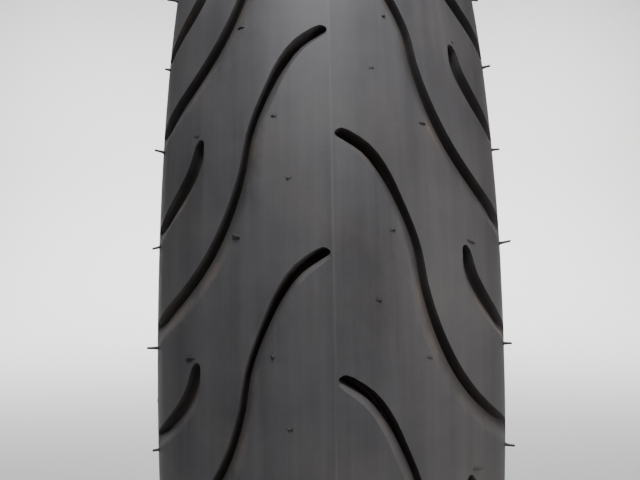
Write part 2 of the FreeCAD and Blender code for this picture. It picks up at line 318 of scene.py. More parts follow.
@dataclass(frozen=True)
class Arch:
    """A crown arc and the shoulder arcs that carry it on to the widest places."""

    top: float
    crown_radius: float
    shoulder_radius: float
    half_width: float

    @property
    def blend(self) -> float:
        """Return the angle where the crown arc meets the shoulder arc."""
        spread = self.crown_radius - self.shoulder_radius
        return math.asin((self.half_width - self.shoulder_radius) / spread)

    @property
    def shoulder(self) -> Pair:
        """Return (axial place, radius) of the right shoulder arc's centre."""
        spread = self.crown_radius - self.shoulder_radius
        drop = self.crown_radius - spread * math.cos(self.blend)
        return spread * math.sin(self.blend), self.top - drop


@dataclass(frozen=True)
class Contour(Arch):
    """The outer contour of the tread and its pattern, the same as in the CAD."""

    tread_edge: float = 61.4 * MM
    edge_depth: float = 4.6 * MM
    pitch_count: int = 30
    pitch: float = 62.0 * MM
    pattern_turn: float = math.radians(20.54)

    def at(self, out: np.ndarray) -> tuple[np.ndarray, np.ndarray, np.ndarray]:
        """Follow the contour out from the crown.

        Args:
            out: lengths from the crown, negative on the left side.

        Returns:
            The axial places, the radii and the angles the surface leans at.
        """
        reach = np.abs(out)
        first = reach < self.crown_radius * self.blend
        past = (reach - self.crown_radius * self.blend) / self.shoulder_radius
        lean = np.where(first, reach / self.crown_radius, self.blend + past)
        side, rise = self.shoulder
        crown = self.top - self.crown_radius
        y = np.where(first, self.crown_radius * np.sin(lean),
                     side + self.shoulder_radius * np.sin(lean))
        radius = np.where(first, crown + self.crown_radius * np.cos(lean),
                          rise + self.shoulder_radius * np.cos(lean))
        return y * np.sign(out), radius, lean * np.sign(out)

    def place(self, rows: np.ndarray) -> np.ndarray:
        """Wrap flat pattern points round the tyre.

        Args:
            rows: (along the pattern, out from the crown, height) per point.

        Returns:
            The points in the wheel's frame.
        """
        y, radius, lean = self.at(rows[:, 1])
        turn = self.pattern_turn - math.tau / self.pitch_count * rows[:, 0] / self.pitch
        far = radius + rows[:, 2] * np.cos(lean)
        side = y + rows[:, 2] * np.sin(lean)
        return np.column_stack((far * np.cos(turn), side, far * np.sin(turn)))


CONTOUR = Contour(top=296.0 * MM, crown_radius=62.2 * MM, shoulder_radius=24.6 * MM,
                  half_width=50.5 * MM)
PLY = Arch(top=286.2 * MM, crown_radius=60.0 * MM, shoulder_radius=20.0 * MM,
           half_width=47.7 * MM)


def smooth_path(path: Rows, count: int) -> np.ndarray:
    """Draw a smooth curve through a path's points.

    Args:
        path: (along, out, width, slot width) of each point.
        count: how many points to return.

    Returns:
        Rows of the same four values, evenly spread by length.
    """
    knots = np.array(path)
    steps = np.linalg.norm(np.diff(knots[:, :2], axis=0), axis=1)
    length = np.concatenate(([0.0], np.cumsum(steps)))
    slopes = np.gradient(knots, length, axis=0)
    dense = np.linspace(0.0, length[-1], count)
    span = np.clip(np.searchsorted(length, dense, side="right") - 1, 0, len(steps) - 1)
    run = steps[span][:, None]
    t = ((dense - length[span]) / steps[span])[:, None]
    start, end = knots[span], knots[span + 1]
    leave, arrive = slopes[span] * run, slopes[span + 1] * run
    return ((2 * t**3 - 3 * t**2 + 1) * start + (t**3 - 2 * t**2 + t) * leave
            + (3 * t**2 - 2 * t**3) * end + (t**3 - t**2) * arrive)


@dataclass(frozen=True)
class Groove:
    """One groove of the pattern and the tool that cuts it."""

    name: str
    path: Rows
    depth: float
    tip_radius: float
    stations: int
    shoulder_depth: float = 2.8 * MM
    crown_flat: float = 20.0 * MM
    draft: float = math.radians(5.0)
    slope_depth: float = 1.9 * MM
    slope_steps: int = 3
    slope_power: float = 1.25
    lip: float = 0.05 * MM
    lift: float = 1.5 * MM
    run_out: float = 8.0 * MM
    end_share: float = 0.2
    floor_steps: int = 3
    floor_bend: Pair = (0.35, 0.5)
    most_slope: float = 0.6
    most_steep: float = 0.2
    inner_flare: float = 0.1
    tip_starts: tuple[float, ...] = (0.0, 0.06, 0.25, 0.55)
    tip_end: float = 0.9
    tip_width: float = 0.12

    def outline(self, width: float, slot: float, depth: float) -> Outline:
        """Return the tool's outline square to its path.

        The outer wall is steep; the inner one leaves the narrow slot and then
        eases over into the tread surface.

        Args:
            width: the groove's whole width at the tread surface.
            slot: the width of the deep slot against the outer wall.
            depth: the groove's depth.

        Returns:
            (towards the shoulder, height) of each corner.
        """
        outer = width / 2
        sunk = (min(self.slope_depth, self.most_slope * depth)
                * min((width - slot) / slot, 1.0))
        steep = min(math.tan(self.draft), self.most_steep * slot / depth)
        right = outer - steep * depth
        left = outer - slot + steep * (depth - sunk)
        bend = min(self.floor_bend[0] * (right - left), self.floor_bend[1] * depth)
        corners = [(outer + steep * self.lift, self.lift), (right, bend - depth)]
        for step in range(1, self.floor_steps):
            turn = math.pi * step / self.floor_steps
            across = (right + left) / 2 + (right - left) / 2 * math.cos(turn)
            corners.append((across, bend - depth - bend * math.sin(turn)))
        corners.append((left, bend - depth))
        for step in range(self.slope_steps + 1):
            share = step / self.slope_steps
            across = outer - slot - (width - slot) * share
            corners.append((across, self.lip - (sunk + self.lip)
                            * (1 - share) ** self.slope_power))
        corners.append((-outer - self.inner_flare * self.lift, self.lift))
        return corners

    def depth_at(self, out: float, left: float) -> float:
        """Return the groove's depth at a place along it.

        Args:
            out: the place's length out from the crown.
            left: how much of the groove is left, to its shoulder end.

        Returns:
            The depth, which runs out to nothing at the shoulder end.
        """
        reach = CONTOUR.tread_edge - self.crown_flat
        share = min(max((out - self.crown_flat) / reach, 0.0), 1.0)
        depth = self.depth + (self.shoulder_depth - self.depth) * share
        fade = min(left / self.run_out, 1.0)
        rest = 1 - self.end_share
        return depth * (self.end_share + rest * math.sin(fade * math.pi / 2))

    def tool(self) -> Piece:
        """Build the cutting tool of one right-hand groove, laid flat."""
        rows = smooth_path(self.path, self.stations)
        steps = np.linalg.norm(np.diff(rows[:, :2], axis=0), axis=1)
        length = np.concatenate(([0.0], np.cumsum(steps)))
        starts = self.tip_radius * np.array(self.tip_starts)
        keep = length > self.tip_radius * self.tip_end
        tip = np.array([[np.interp(at, length, rows[:, k]) for k in range(4)]
                        for at in starts])
        rows = np.vstack((tip, rows[keep]))
        length = np.concatenate((starts, length[keep]))
        sections = []
        for index, (along, out, width, slot) in enumerate(rows):
            ahead = rows[min(index + 1, len(rows) - 1)]
            behind = rows[max(index - 1, 0)]
            reach = float(CONTOUR.at(np.array([out]))[1][0]) / CONTOUR.top
            heading = np.array([(ahead[0] - behind[0]) * reach, ahead[1] - behind[1]])
            heading /= np.linalg.norm(heading)
            away = min(length[index] / self.tip_radius, 1.0)
            taper = max(math.sqrt(1 - (1 - away) ** 2), self.tip_width)
            depth = self.depth_at(out, length[-1] - length[index])
            corners = [(along - heading[1] * across / reach, out + heading[0] * across,
                        height) for across, height in
                       self.outline(width * taper, slot * taper, depth)]
            sections.append(np.array(corners))
        return sweep(self.name, sections)


@dataclass(frozen=True)
class Tread:
    """The tread cap: one flat pitch is cut, repeated and wrapped round."""

    long_groove: Groove = Groove(
        name="long_groove_tool",
        path=metres(
            (0.3, 0.9, 3.7, 2.7),
            (2.3, 4.3, 4.1, 2.8),
            (5.6, 8.6, 4.4, 2.6),
            (10.6, 12.3, 4.3, 2.1),
            (18.1, 15.9, 4.2, 1.4),
            (30.7, 20.6, 4.5, 1.1),
            (40.8, 22.4, 4.8, 1.2),
            (51.2, 25.5, 5.7, 1.5),
            (64.4, 32.4, 6.8, 1.8),
            (76.0, 43.9, 7.2, 1.8),
            (82.0, 53.6, 6.8, 1.6),
            (84.6, 59.1, 6.0, 1.2),
        ),
        depth=5.8 * MM,
        tip_radius=2.0 * MM,
        stations=38,
    )
    short_groove: Groove = Groove(
        name="short_groove_tool",
        path=metres(
            (28.7, 37.0, 2.0, 1.2),
            (30.9, 37.8, 3.5, 1.7),
            (34.0, 38.2, 4.8, 2.2),
            (38.1, 39.6, 5.6, 2.4),
            (42.1, 42.3, 6.0, 2.4),
            (46.1, 45.9, 6.0, 2.1),
            (50.1, 50.8, 5.6, 1.6),
            (54.6, 58.0, 4.8, 1.1),
        ),
        depth=4.2 * MM,
        tip_radius=1.0 * MM,
        stations=20,
    )
    slab_depth: float = 8.0 * MM
    lip_radius: float = 0.55 * MM
    lip_steps: int = 3
    cells_along: int = 10
    cell_out: float = 3.6 * MM
    seam_half: float = 0.28 * MM
    seam_rise: float = 0.10 * MM

    def slab(self) -> Piece:
        """Add the flat slab, three pitches long, that the grooves are cut in."""
        Bench.clear()
        bpy.ops.mesh.primitive_cube_add(size=1.0, location=(0, 0, 0))
        slab = bpy.context.active_object
        slab.name = "tread"
        size = (3 * CONTOUR.pitch, 2 * CONTOUR.tread_edge, self.slab_depth)
        shift = Matrix.Translation((CONTOUR.pitch / 2, 0, -self.slab_depth / 2))
        slab.data.transform(shift @ Matrix.Diagonal((*size, 1.0)))
        return slab

    def tools(self) -> Piece:
        """Lay out the tools of every groove that reaches the middle pitch."""
        tools = []
        mirror = Matrix.Diagonal((1, -1, 1, 1))
        for groove in (self.long_groove, self.short_groove):
            pattern = groove.tool()
            for index in range(-2, 2):
                shift = index * CONTOUR.pitch
                tools.append(Bench.copy(pattern, Matrix.Translation((shift, 0, 0)) @ mirror))
                half = Matrix.Translation((shift + CONTOUR.pitch / 2, 0, 0))
                tools.append(Bench.copy(pattern, half))
            Bench.remove(pattern)
        joined = Bench.join(tools, "groove_tools")
        Bench.close_up(joined, VERY_NEAR)
        return joined

    def round_lips(self, slab: Piece) -> None:
        """Round the edges where the grooves break the tread surface."""
        half_out = CONTOUR.tread_edge - NEAR
        half_along = 1.5 * CONTOUR.pitch - NEAR

        def work() -> None:
            """Select the rim edges by their place and bevel them."""
            bpy.ops.mesh.select_all(action="DESELECT")
            bpy.ops.mesh.select_mode(type="EDGE")
            cage = bmesh.from_edit_mesh(slab.data)
            for edge in cage.edges:
                ends = [vertex.co for vertex in edge.verts]
                on_top = all(abs(end.z) < NEAR for end in ends)
                inside = any(abs(end.y) < half_out for end in ends) and any(
                    abs(end.x - CONTOUR.pitch / 2) < half_along for end in ends)
                walls = any(face.normal.z < 0.9 for face in edge.link_faces)
                edge.select = on_top and inside and walls
            bmesh.update_edit_mesh(slab.data)
            bpy.ops.mesh.bevel(offset=self.lip_radius, segments=self.lip_steps,
                               affect="EDGES", clamp_overlap=True)

        Bench.edit(slab, work)

    def grid(self, slab: Piece) -> None:
        """Trim the slab to one pitch and score it so that it can be wrapped."""
        out_lines = int(CONTOUR.tread_edge / self.cell_out)
        step = CONTOUR.tread_edge / (out_lines + 1)
        fine = [k * step for k in range(-out_lines, out_lines + 1) if k]
        fine += [-self.seam_half, 0.0, self.seam_half]
        coarse = fine[::2]

        def choose(top: bool, bottom: bool) -> None:
            """Select the flat faces on top, and those beneath and beside."""
            bpy.ops.mesh.select_mode(type="FACE")
            bpy.ops.mesh.select_all(action="DESELECT")
            cage = bmesh.from_edit_mesh(slab.data)
            for face in cage.faces:
                high = min(vertex.co.z for vertex in face.verts) > -NEAR
                low = max(vertex.co.z for vertex in face.verts) < NEAR - self.slab_depth
                side = abs(face.normal.y) > 0.999 and not high
                face.select = (high and top) or ((low or side) and bottom)
            bmesh.update_edit_mesh(slab.data)

        def cut(place: Sequence[float], normal: Sequence[float], **drop: bool) -> None:
            """Bisect what is selected with one plane."""
            bpy.ops.mesh.bisect(plane_co=place, plane_no=normal, threshold=VERY_NEAR, **drop)

        def work() -> None:
            """Trim both ends, then score along and across."""
            cut((0, 0, 0), (1, 0, 0), clear_inner=True)
            bpy.ops.mesh.select_all(action="SELECT")
            cut((CONTOUR.pitch, 0, 0), (1, 0, 0), clear_outer=True)
            for k in range(1, self.cells_along):
                choose(True, True)
                cut((CONTOUR.pitch * k / self.cells_along, 0, 0), (1, 0, 0))
            for place in fine:
                choose(True, False)
                cut((0, place, 0), (0, 1, 0))
            for place in coarse:
                choose(False, True)
                cut((0, place, 0), (0, 1, 0))

        Bench.edit(slab, work)

    def match_ends(self, slab: Piece) -> None:
        """Give both cut ends of the pitch the same vertices, so that they join."""
        near = 2 * NEAR
        cage = bmesh.new()
        cage.from_mesh(slab.data)
        for here, there in ((0.0, CONTOUR.pitch), (CONTOUR.pitch, 0.0)):
            wanted = [v.co.copy() for v in cage.verts if abs(v.co.x - here) < near]
            for place in wanted:
                place.x = there
                rim = [edge for edge in cage.edges if edge.is_boundary
                       and all(abs(v.co.x - there) < near for v in edge.verts)]
                if any((v.co - place).length < near for edge in rim for v in edge.verts):
                    continue
                for edge in rim:
                    start, end = (v.co for v in edge.verts)
                    along = (place - start).dot(end - start) / (end - start).length_squared
                    if 0 < along < 1 and (start.lerp(end, along) - place).length < near:
                        bmesh.utils.edge_split(edge, edge.verts[0], along)[1].co = place
                        break
        cage.to_mesh(slab.data)
        cage.free()

    def wrap(self, slab: Piece) -> None:
        """Bend the row of pitches round the tyre and note the groove depth."""
        rows = Bench.points(slab)
        share = np.clip(np.abs(rows[:, 1]) / CONTOUR.tread_edge, 0, 1)
        below = rows[:, 2] < -self.slab_depth + NEAR
        depth = self.slab_depth + (CONTOUR.edge_depth - self.slab_depth) * share**2
        note = slab.data.attributes.new("groove_depth", "FLOAT", "POINT")
        note.data.foreach_set("value", np.where(below, 0.0, -rows[:, 2]))
        rows[:, 2] = np.where(below, -depth, rows[:, 2])
        on_seam = (np.abs(rows[:, 1]) < NEAR) & ~below
        rows[on_seam, 2] += self.seam_rise
        Bench.set_points(slab, CONTOUR.place(rows))

    def build(self) -> Piece:
        """Cut one pitch, repeat it, wrap it round and close the ring."""
        slab, tools = self.slab(), self.tools()
        Bench.modify(slab, "BOOLEAN", operation="DIFFERENCE", solver="MANIFOLD", object=tools)
        Bench.remove(tools)
        self.round_lips(slab)
        self.grid(slab)
        self.match_ends(slab)
        Bench.modify(slab, "ARRAY", count=CONTOUR.pitch_count, use_relative_offset=False,
                     use_constant_offset=True, use_merge_vertices=True,
                     constant_offset_displace=(CONTOUR.pitch, 0, 0),
                     merge_threshold=NEAR)
        self.wrap(slab)
        Bench.close_up(slab, 3 * NEAR)
        Bench.smooth(slab, 40.0)
        Bench.modify(slab, "WEIGHTED_NORMAL", keep_sharp=True)
        return slab


# ------------------------------------------------------- sidewalls and beads


@dataclass(frozen=True)
class Carcass:
    """The right side's ply line from wall to bead, the same as in the CAD."""

    seat_radius: float = 218.3 * MM
    rim_half: float = 31.75 * MM
    wall_radius: float = 18.0 * MM
    wall_thickness: float = 2.8 * MM
    bundle_radius: float = 3.2 * MM
    plies: float = 1.8 * MM
    liner: float = 1.0 * MM
    chafer: float = 1.0 * MM
    flange_radius: float = 5.0 * MM
    heel_radius: float = 3.5 * MM
    toe_radius: float = 1.0 * MM
    rim_line_height: float = 18.0 * MM
    stagger: float = 6.0 * MM
    tread_end: float = 62.0

    @property
    def wall(self) -> Pair:
        """Return (axial place, radius) of the wall arc's centre."""
        return PLY.half_width - self.wall_radius, PLY.shoulder[1]

    @property
    def bead(self) -> Pair:
        """Return (axial place, radius) of the bead bundle's centre."""
        wrap = self.bundle_radius + self.plies + self.chafer
        return self.rim_half - wrap, self.seat_radius + wrap

    @property
    def flange(self) -> Pair:
        """Return (axial place, radius) of the rim flange's centre."""
        return self.rim_half + self.flange_radius, self.bead[1]

    @staticmethod
    def crossing(first: Pair, first_radius: float,
                 second: Pair, second_radius: float) -> float:
        """Return the heading in degrees of the line that crosses between circles.

        Args:
            first: centre of the circle that the line leaves on its outer side.
            first_radius: that circle's radius.
            second: centre of the circle that the line meets on its inner side.
            second_radius: that circle's radius.

        Returns:
            The heading, 0 straight out and 90 along the axle.
        """
        side, rise = second[0] - first[0], second[1] - first[1]
        lean = math.asin((first_radius + second_radius) / math.hypot(side, rise))
        return math.degrees((math.atan2(side, rise) + lean) % math.tau)

    @property
    def down(self) -> float:
        """Return the heading of the ply line from wall to bead."""
        return self.crossing(self.wall, self.wall_radius, self.bead, self.bundle_radius)

    @property
    def outer_down(self) -> float:
        """Return the heading of the outer face from wall to flange."""
        outer = self.wall_radius + self.wall_thickness
        return self.crossing(self.wall, outer, self.flange, self.flange_radius)

    def rim_line(self, depth: float, lower: float = 0.0) -> Pair:
        """Return a point on the cut where the chafer ends.

        Args:
            depth: the point's depth below the outer face.
            lower: how far down the wall the cut is moved.

        Returns:
            (axial place, radius) of the point.
        """
        heading = math.radians(self.outer_down)
        foot = arc_point(self.flange, self.flange_radius, self.outer_down + 90)
        rise = (self.rim_line_height + self.seat_radius - foot[1]) / abs(math.cos(heading))
        back = rise - lower
        return (foot[0] - math.sin(heading) * back + math.cos(heading) * depth,
                foot[1] - math.cos(heading) * back - math.sin(heading) * depth)

    def filler_top(self) -> Pair:
        """Return where the rim line cut meets the ply line."""
        outer, inner = self.rim_line(0.0), self.rim_line(MM)
        foot = arc_point(self.bead, self.bundle_radius, self.down + 90)
        heading = math.radians(self.down)
        normal = (math.cos(heading), -math.sin(heading))
        step = ((inner[0] - outer[0]), (inner[1] - outer[1]))
        gap = (foot[0] - outer[0]) * normal[0] + (foot[1] - outer[1]) * normal[1]
        share = gap / (step[0] * normal[0] + step[1] * normal[1])
        return outer[0] + step[0] * share, outer[1] + step[1] * share

    def inner_line(self, offset: float, steps: int) -> Outline:
        """Return the ply line's inner side from the crown to the bead.

        Args:
            offset: how far outside the outer ply's face the line runs.
            steps: how many steps each arc has.

        Returns:
            The right-hand points, crown first.
        """
        crown = (0.0, PLY.top - PLY.crown_radius)
        turn = math.degrees(PLY.blend)
        foot = arc_point(self.bead, self.bundle_radius - offset, self.down + 90)
        return (arc_points(crown, PLY.crown_radius + offset, 0, turn, steps)
                + arc_points(PLY.shoulder, PLY.shoulder_radius + offset,
                             turn, 90, steps)[1:]
                + arc_points(self.wall, self.wall_radius + offset,
                             90, self.down - 90, steps)[1:]
                + [foot])


CARCASS = Carcass()


@dataclass(frozen=True)
class WallFace:
    """The right sidewall's outer face, followed inwards from the tread's edge."""

    edge: float = math.degrees(float(CONTOUR.at(np.array([CONTOUR.tread_edge]))[2][0]))

    @property
    def shoulder_length(self) -> float:
        """Return the length of the face's shoulder arc."""
        return CONTOUR.shoulder_radius * math.radians(90 - self.edge)

    @property
    def arc_radius(self) -> float:
        """Return the radius of the face's wall arc."""
        return CARCASS.wall_radius + CARCASS.wall_thickness

    @property
    def arc_length(self) -> float:
        """Return the length of the face's wall arc."""
        return self.arc_radius * math.radians(CARCASS.outer_down - 180)

    @property
    def length(self) -> float:
        """Return the whole length down to the rim line."""
        start = arc_point(CARCASS.wall, self.arc_radius, CARCASS.outer_down - 90)
        end = CARCASS.rim_line(0.0)
        return (self.shoulder_length + self.arc_length
                + math.hypot(start[0] - end[0], start[1] - end[1]))

    def at(self, down: float, height: float) -> Pair:
        """Return a place on or above the face.

        Args:
            down: the length from the tread's edge.
            height: how far the place stands off the face.

        Returns:
            (axial place, radius) of the place.
        """
        if down < self.shoulder_length:
            lean = self.edge + math.degrees(down / CONTOUR.shoulder_radius)
            reach = CONTOUR.shoulder_radius + height
            return arc_point(CONTOUR.shoulder, reach, lean)
        past = min(down - self.shoulder_length, self.arc_length)
        lean = 90 + math.degrees(past / self.arc_radius)
        side, rise = arc_point(CARCASS.wall, self.arc_radius + height, lean)
        rest = down - self.shoulder_length - past
        heading = math.radians(CARCASS.outer_down)
        return side + math.sin(heading) * rest, rise + math.cos(heading) * rest

    def wrap(self, rows: np.ndarray) -> np.ndarray:
        """Lay flat decoration on the face.

        Args:
            rows: (length round the wheel, length down the face, height) per point.

        Returns:
            The points in the wheel's frame, on the right side.
        """
        places = np.array([self.at(down, height) for _, down, height in rows])
        turn = rows[:, 0] / CARCASS.wall[1]
        return np.column_stack((places[:, 1] * np.cos(turn), places[:, 0],
                                places[:, 1] * np.sin(turn)))


FACE = WallFace()


def put_on_side(piece: Piece, side: Side) -> Piece:
    """Mirror a right-hand piece where it belongs on the left, and turn it outwards.

    Args:
        piece: the piece, built on the right side.
        side: the side it belongs on.

    Returns:
        The same piece.
    """
    if side is Side.LEFT:
        piece.data.transform(Matrix.Diagonal((1, -1, 1, 1)))
    Bench.close_up(piece, 2 * NEAR)
    return piece


@dataclass(frozen=True)
class Sidewall:
    """One sidewall with its moulded rings, fine ribs, arrows and wear marks."""

    side: Side
    steps: int = 540
    rings: Rows = metres(
        (1.3, 1.9, -0.40),
        (6.4, 6.9, 0.30),
        (7.7, 8.2, 0.30),
        (13.3, 13.8, 0.30),
        (22.2, 24.0, 0.65),
        (25.5, 26.0, 0.30),
    )
    flank: float = 0.25 * MM
    step: float = 1.6 * MM
    rib_count: int = 720
    rib_span: Pair = (8.6 * MM, 12.9 * MM)
    rib_width: float = 0.9 * MM
    rib_height: float = 0.32 * MM
    rib_slim: float = 0.35
    sunk: float = 0.3 * MM
    arrow_count: int = 4
    mark_count: int = 6
    mark_height: float = 0.35 * MM
    score_round: float = 3.0 * MM
    score_down: float = 1.5 * MM

    def outer_points(self) -> Outline:
        """Return the outer face with its rings, tread's edge first."""
        stops = {0.0: 0.0, FACE.length: 0.0}
        for start, end, height in self.rings:
            stops.update({start - self.flank: 0.0, start: height,
                          end: height, end + self.flank: 0.0})
        for place in np.arange(self.step, FACE.length - self.step / 2, self.step):
            if min(abs(place - stop) for stop in stops) > self.step / 3:
                stops[float(place)] = float(np.interp(place, *zip(*sorted(stops.items()))))
        return [FACE.at(down, height) for down, height in sorted(stops.items())]

    def ring(self) -> Piece:
        """Turn the sidewall's section round the axle."""
        beneath = CONTOUR.at(np.array([CONTOUR.tread_edge]))
        lean = float(beneath[2][0])
        corner = (float(beneath[0][0]) - CONTOUR.edge_depth * math.sin(lean),
                  float(beneath[1][0]) - CONTOUR.edge_depth * math.cos(lean))
        outline = self.outer_points() + [CARCASS.filler_top()]
        outline += arc_points(CARCASS.wall, CARCASS.wall_radius, CARCASS.down - 90, 90, 8)
        outline += arc_points(PLY.shoulder, PLY.shoulder_radius, 90,
                              CARCASS.tread_end, 5)[1:]
        return lathe(f"{self.side.word}_sidewall", outline + [corner], self.steps)

    def ribs(self) -> Piece:
        """Build the band of fine radial ribs: one rib, repeated and wrapped round."""
        start, end = self.rib_span
        half = self.rib_width / 2
        crest = half * self.rib_slim
        sections = []
        for down in np.linspace(start, end, 4):
            top = self.rib_height * (self.rib_slim if down in (start, end) else 1.0)
            sections.append(np.array([(-half, down, -self.sunk), (half, down, -self.sunk),
                                      (crest, down, top), (-crest, down, top)]))
        rib = sweep(f"{self.side.word}_sidewall_ribs", sections)
        pitch = math.tau * CARCASS.wall[1] / self.rib_count
        Bench.modify(rib, "ARRAY", count=self.rib_count, use_relative_offset=False,
                     use_constant_offset=True, constant_offset_displace=(pitch, 0, 0))
        Bench.set_points(rib, FACE.wrap(Bench.points(rib)))
        Bench.smooth(put_on_side(rib, self.side), 35.0)
        return rib

    def raised(self, name: str, shape: Outline, turn: float) -> Piece:
        """Raise a flat shape out of the wall.

        Args:
            name: the new object's name.
            shape: (length round the wheel, length down the face) of each corner.
            turn: where round the wheel the shape goes, in radians.

        Returns:
            The raised shape, on the right side.
        """
        piece = outline_face(name, [(round_, down, -self.sunk) for round_, down in shape])
        rise = {"value": (0.0, 0.0, self.mark_height + self.sunk)}

        def work() -> None:
            """Extrude the shape, then score it so that it can follow the wall."""
            bpy.ops.mesh.extrude_region_move(TRANSFORM_OT_translate=rise)
            low = min(round_ for round_, _ in shape)
            high = max(round_ for round_, _ in shape)
            for place in np.arange(low + self.score_round, high, self.score_round):
                bpy.ops.mesh.select_all(action="SELECT")
                bpy.ops.mesh.bisect(plane_co=(place, 0, 0), plane_no=(1, 0, 0))
            for place in np.arange(0.0, FACE.length, self.score_down):
                bpy.ops.mesh.select_all(action="SELECT")
                bpy.ops.mesh.bisect(plane_co=(0, place, 0), plane_no=(0, 1, 0))

        Bench.edit(piece, work)
        rows = Bench.points(piece)
        rows[:, 0] += turn * CARCASS.wall[1]
        Bench.set_points(piece, FACE.wrap(rows))
        return piece

    def arrow(self, turn: float) -> Piece:
        """Raise one running-direction arrow."""
        head, tail, middle = 16.0 * MM, -16.0 * MM, 18.0 * MM
        neck, shaft, barb, notch = 7.0 * MM, 0.9 * MM, 2.6 * MM, 2.5 * MM
        shape = [(tail, middle - shaft), (neck, middle - shaft), (neck, middle - barb),
                 (head, middle), (neck, middle + barb), (neck, middle + shaft),
                 (tail, middle + shaft), (tail + notch, middle)]
        return self.raised("arrow", shape, turn)

    def wear_mark(self, turn: float) -> Piece:
        """Raise one triangle that points at a wear bar."""
        top, foot, half = 2.6 * MM, 5.6 * MM, 1.9 * MM
        return self.raised("wear_mark", [(-half, foot), (half, foot), (0.0, top)], turn)

    def marks(self) -> Piece:
        """Raise the arrows and wear marks round the wall."""
        pieces = [self.arrow(math.tau * (k + 0.5) / self.arrow_count)
                  for k in range(self.arrow_count)]
        pieces += [self.wear_mark(math.tau * k / self.mark_count)
                   for k in range(self.mark_count)]
        joined = Bench.join(pieces, f"{self.side.word}_sidewall_marks")
        Bench.smooth(put_on_side(joined, self.side), 30.0)
        return joined

    def build(self) -> list[Piece]:
        """Build the wall and all that is raised on it, the wall itself first."""
        wall = put_on_side(self.ring(), self.side)
        Bench.smooth(wall, 25.0)
        return [wall, self.ribs(), self.marks()]


@dataclass(frozen=True)
class Chafer:
    """The rubber that wraps one bead, with the rings that show it sits true."""

    side: Side
    steps: int = 360
    seat_lines: int = 9
    seat_line: float = 0.18 * MM

    def build(self) -> Piece:
        """Turn the chafer's section round the axle."""
        shape = CARCASS
        inside = shape.plies + shape.liner
        face = shape.bead[0] - shape.bundle_radius - inside
        toe = (face + shape.toe_radius, shape.seat_radius + shape.toe_radius)
        heel = (shape.rim_half - shape.heel_radius, shape.seat_radius + shape.heel_radius)
        cover = shape.chafer + shape.plies / 2
        turn = shape.outer_down + 90
        along = np.linspace(toe[0] + MM, heel[0] - MM, self.seat_lines)
        seat = [(y, shape.seat_radius + self.seat_line * (k % 2))
                for k, y in enumerate(along)]
        outline = arc_points(shape.bead, shape.bundle_radius + inside,
                             shape.down + 90, 270, 6)
        outline += arc_points(toe, shape.toe_radius, 270, 180, 4) + seat
        outline += arc_points(heel, shape.heel_radius, 180, 90, 6)
        outline += arc_points(shape.flange, shape.flange_radius, 270, turn, 6)
        outline += [shape.rim_line(0.0), shape.rim_line(cover),
                    shape.rim_line(cover, shape.stagger),
                    shape.rim_line(shape.chafer, shape.stagger)]
        outline += arc_points(shape.flange, shape.flange_radius + shape.chafer,
                              turn, 270, 6)
        outline += arc_points(shape.bead, shape.bundle_radius + shape.plies, 90,
                              shape.down + 90, 14)
        ring = lathe(f"{self.side.word}_chafer", outline, self.steps)
        Bench.smooth(put_on_side(ring, self.side), 30.0)
        return ring


@dataclass(frozen=True)
class Liner:
    """The airtight liner, with the fine vent lines that the bladder leaves."""

    steps: int = 360
    arc_steps: int = 10
    line_steps: int = 5
    line_count: int = 120
    line_width: float = 0.8 * MM
    line_height: float = 0.25 * MM
    line_root: float = -1.2
    slant: float = math.radians(9.0)

    def build(self) -> Piece:
        """Turn the liner's section round the axle."""
        outer = CARCASS.inner_line(-CARCASS.plies, self.arc_steps)
        inner = CARCASS.inner_line(-CARCASS.plies - CARCASS.liner, self.arc_steps)
        whole = [(-y, radius) for y, radius in outer[:0:-1]] + outer
        whole += inner[::-1] + [(-y, radius) for y, radius in inner[1:]]
        ring = lathe("liner", whole, self.steps)
        Bench.smooth(ring, 40.0)
        return ring

    def vent_lines(self) -> Piece:
        """Build the raised lines: one from bead to bead, repeated round."""
        half = CARCASS.inner_line(-CARCASS.plies - CARCASS.liner, self.line_steps)[:-1]
        track = [(-y, radius) for y, radius in half[:0:-1]] + half
        sections = []
        for index, (y, radius) in enumerate(track):
            ahead = track[min(index + 1, len(track) - 1)]
            behind = track[max(index - 1, 0)]
            along = Vector((ahead[0] - behind[0], ahead[1] - behind[1])).normalized()
            rise = Vector((along.y, -along.x)) * self.line_height
            turn = self.slant * y / CONTOUR.half_width
            corners = []
            for side, lift in ((-0.5, self.line_root), (0.5, self.line_root), (0.0, 1.0)):
                at = radius + rise.y * lift
                angle = turn + side * self.line_width / radius
                corners.append((at * math.cos(angle), y + rise.x * lift,
                                at * math.sin(angle)))
            sections.append(np.array(corners))
        first = sweep("liner_vent_lines", sections)
        copies = [Bench.copy(first, Matrix.Rotation(math.tau * k / self.line_count, 4, "Y"))
                  for k in range(1, self.line_count)]
        joined = Bench.join([first] + copies, "liner_vent_lines")
        Bench.smooth(joined, 50.0)
        return joined


# -------------------------------------------------------------- moulding hairs


